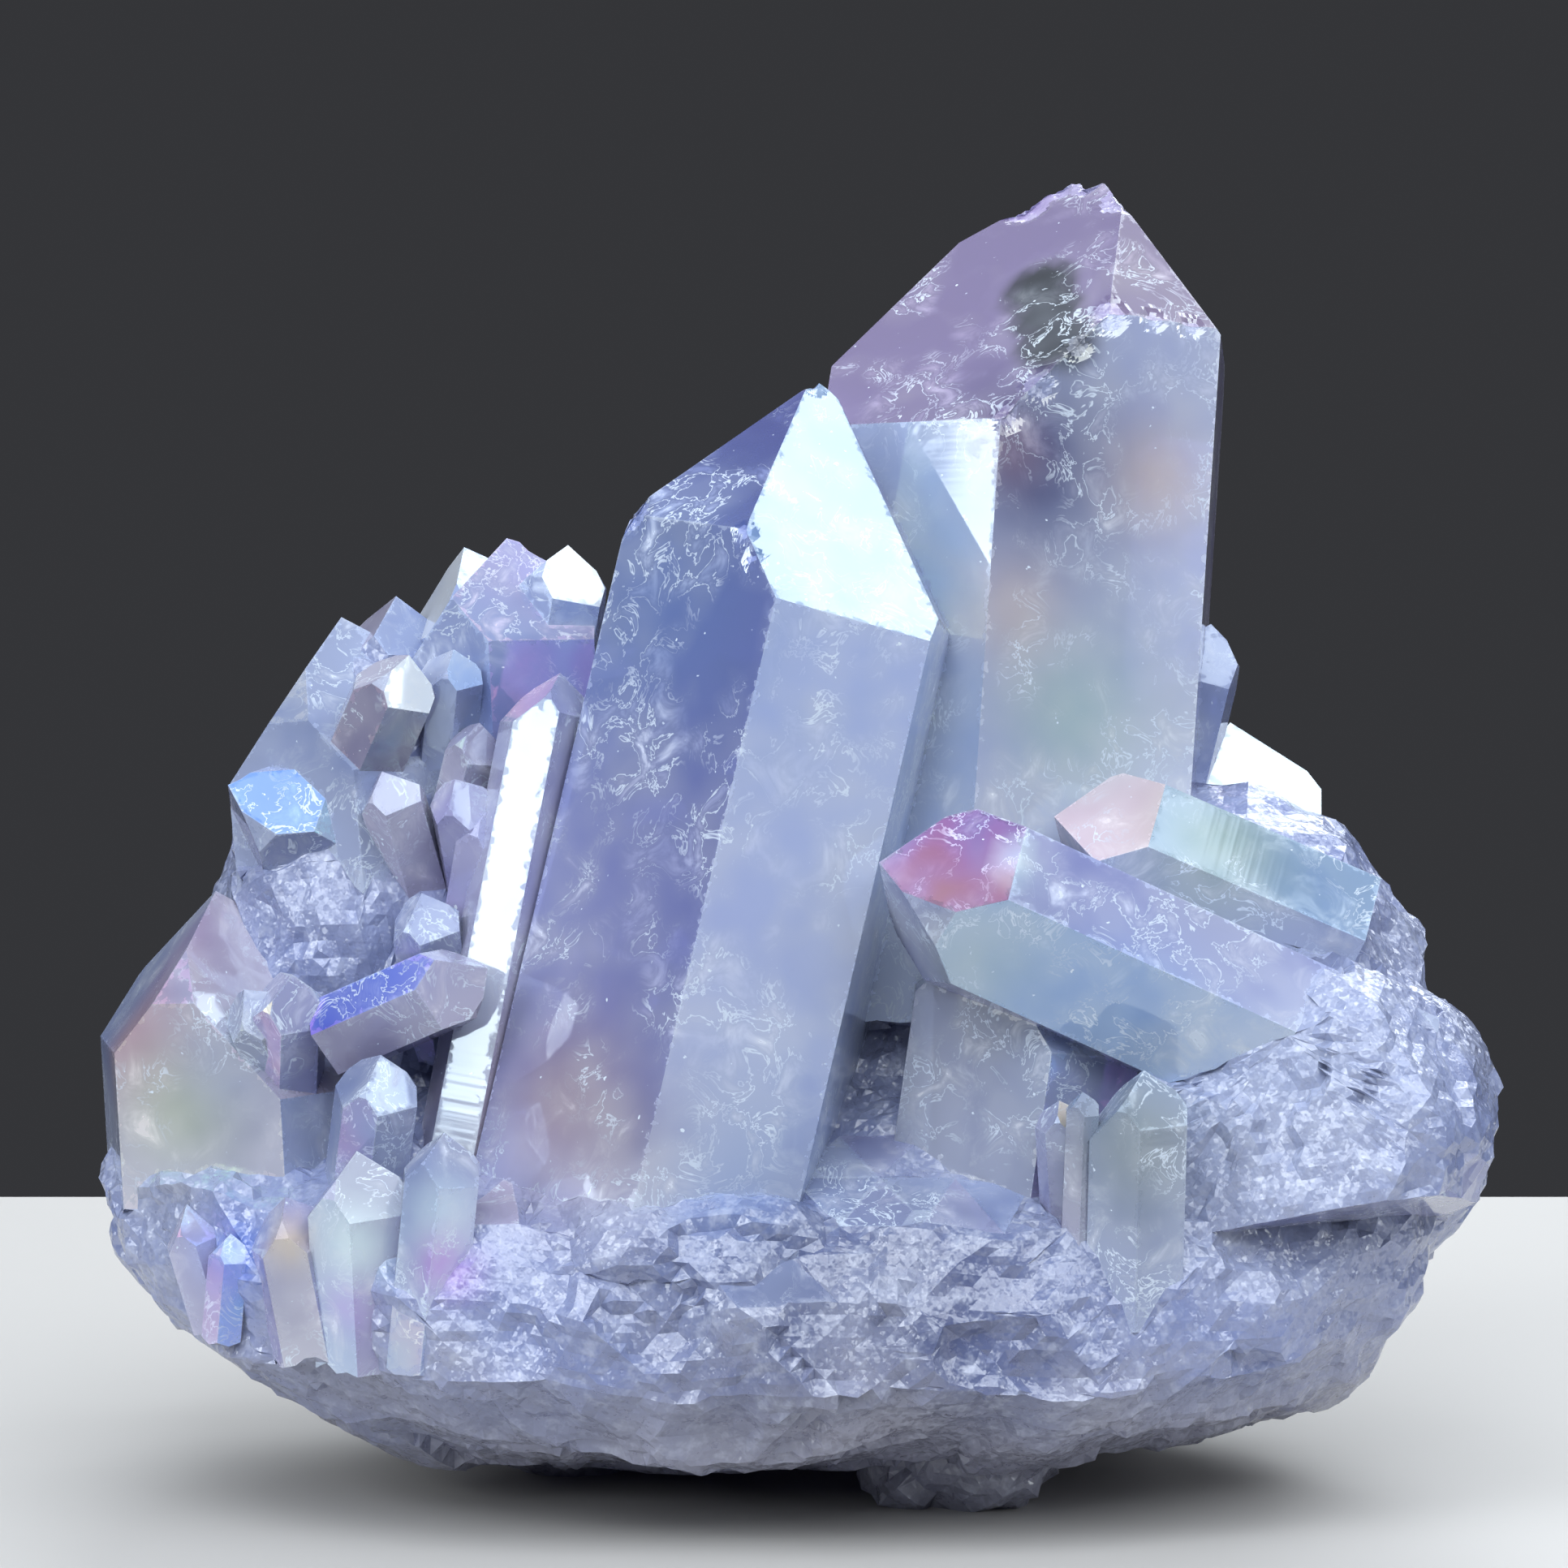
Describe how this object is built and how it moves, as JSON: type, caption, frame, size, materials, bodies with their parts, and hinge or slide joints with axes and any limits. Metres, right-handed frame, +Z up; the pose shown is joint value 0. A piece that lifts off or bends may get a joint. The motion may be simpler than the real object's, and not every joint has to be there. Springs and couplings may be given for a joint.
{
  "type": "aura quartz cluster",
  "caption": "Free-standing cluster of clear, pearly-coated quartz crystals grown together on a broken quartz base, made to stand on a shelf for display.",
  "frame": {"origin": "under the middle of the cluster's box, on the surface that it stands on", "axes": "+X to the viewer's right along the widest extent of the base, -Y towards the viewer of the front point, +Z up"},
  "size_m": [0.0786, 0.0518, 0.0731],
  "materials": {
    "aura_quartz": "clear to milky quartz with a thin pearly, iridescent coating on its crystal faces"
  },
  "bodies": {
    "root": {"quartz_cluster": "aura_quartz"}
  },
  "joints": []
}
